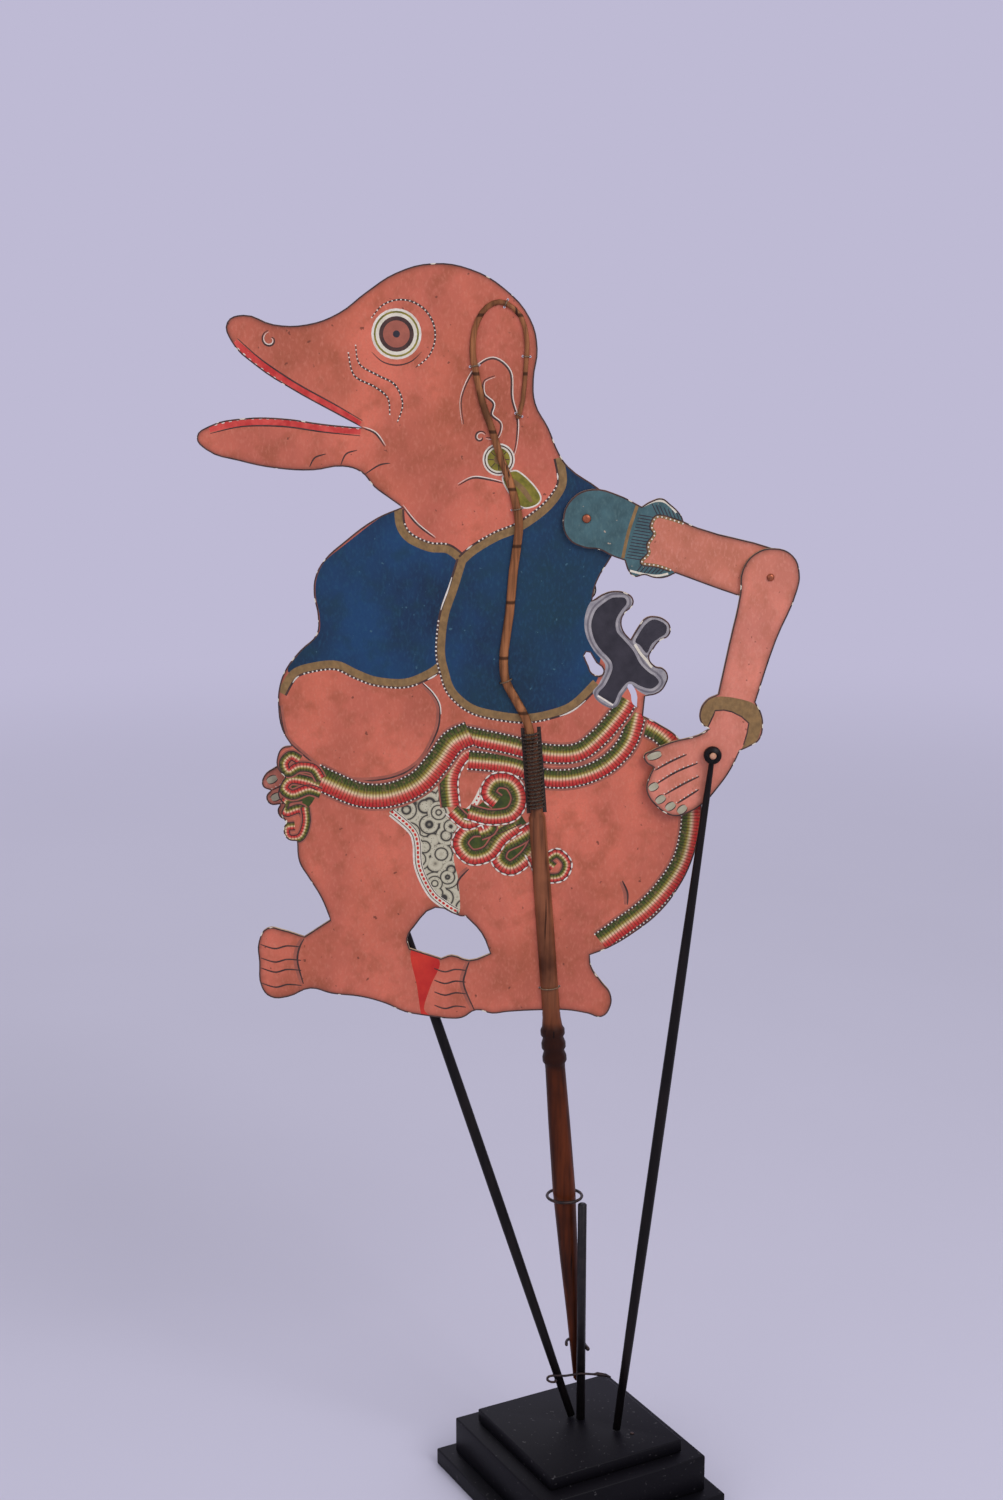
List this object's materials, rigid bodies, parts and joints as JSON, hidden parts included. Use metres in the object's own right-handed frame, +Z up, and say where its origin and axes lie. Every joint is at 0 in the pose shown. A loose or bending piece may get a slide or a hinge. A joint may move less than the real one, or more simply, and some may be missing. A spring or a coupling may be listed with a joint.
{
  "type": "flat hide rod puppet on a display stand",
  "caption": "Flat painted hide shadow puppet of a bald, billed figure with jointed arms, cane spine, turned grip and hand rods, standing on a stepped black stand.",
  "frame": {"origin": "middle of the underside of the stand's plinth", "axes": "+Z up, -Y towards the viewer of the painted face, +X to the viewer's right"},
  "size_m": [0.3292, 0.1688, 0.7092],
  "materials": {
    "painted_hide": "opaque paint on parchment hide, satin",
    "arm_hide": "opaque paint on parchment hide, satin",
    "turned_wood": "oiled, worn by hands",
    "split_cane": "bare, satin",
    "dark_thread": "waxed thread",
    "worn_thread": "thread, worn",
    "copper": "dull",
    "pale_wood": "bare",
    "black_rod": "black stained, polished by use",
    "dark_wire": "dark brown-black, satin",
    "black_wood": "black paint, matt"
  },
  "bodies": {
    "stand": {"base_plinth": "black_wood", "base_block": "black_wood", "base_plate": "black_wood", "base_brad": "copper", "stand_post": "dark_wire", "upper_ring": "dark_wire", "lower_fork": "dark_wire", "rod_clip": "dark_wire"},
    "figure": {"body_hide": "painted_hide", "grip": "turned_wood", "front_cane": "split_cane", "back_cane": "split_cane", "waist_lashing": "dark_thread", "shoulder_peg": "copper", "shoulder_spacer": "pale_wood", "tie_end": "worn_thread", "tie_nape": "worn_thread", "tie_crown": "worn_thread", "tie_ear": "worn_thread", "tie_neck": "worn_thread", "tie_hem": "worn_thread", "tie_foot": "worn_thread"},
    "near_upper": {"near_upper_arm": "arm_hide", "near_elbow_peg": "copper"},
    "near_fore": {"near_forearm": "arm_hide", "near_hand_peg": "pale_wood"},
    "near_rod": {"near_hand_rod": "black_rod"},
    "far_upper": {"far_upper_arm": "arm_hide", "far_elbow_peg": "copper"},
    "far_fore": {"far_forearm": "arm_hide", "far_hand_peg": "pale_wood"},
    "far_rod": {"far_hand_rod": "black_rod"}
  },
  "joints": [
    {"name": "puppet_lift", "type": "slide", "parent": "stand", "child": "figure", "axis": [-0.0735, 0, 0.9973], "range_m": [0, 0.05]},
    {"name": "near_shoulder", "type": "hinge", "parent": "figure", "child": "near_upper", "pos_m": [0.001, 0.016, 0.5732], "axis": [0, -1, 0], "range_deg": [-12, 110]},
    {"name": "near_elbow", "type": "hinge", "parent": "near_upper", "child": "near_fore", "pos_m": [0.102, 0.016, 0.5412], "axis": [0, 1, 0], "range_deg": [-60, 24]},
    {"name": "near_rod_swing", "type": "hinge", "parent": "near_fore", "child": "near_rod", "pos_m": [0.072, 0.016, 0.4422], "axis": [0, 1, 0], "range_deg": [-42, 105]},
    {"name": "far_shoulder", "type": "hinge", "parent": "figure", "child": "far_upper", "pos_m": [0.001, 0.016, 0.5732], "axis": [0, 1, 0], "range_deg": [0, 90]},
    {"name": "far_elbow", "type": "hinge", "parent": "far_upper", "child": "far_fore", "pos_m": [-0.04324, 0.016, 0.47693], "axis": [0, 1, 0], "range_deg": [0, 100]},
    {"name": "far_rod_swing", "type": "hinge", "parent": "far_fore", "child": "far_rod", "pos_m": [-0.13304, 0.016, 0.43294], "axis": [0, 1, 0], "range_deg": [-25, 0]}
  ],
  "couplings": [
    {"joint": "near_rod_swing", "follows": "near_elbow", "ratio": -1.75},
    {"joint": "far_rod_swing", "follows": "far_elbow", "ratio": -0.25}
  ]
}
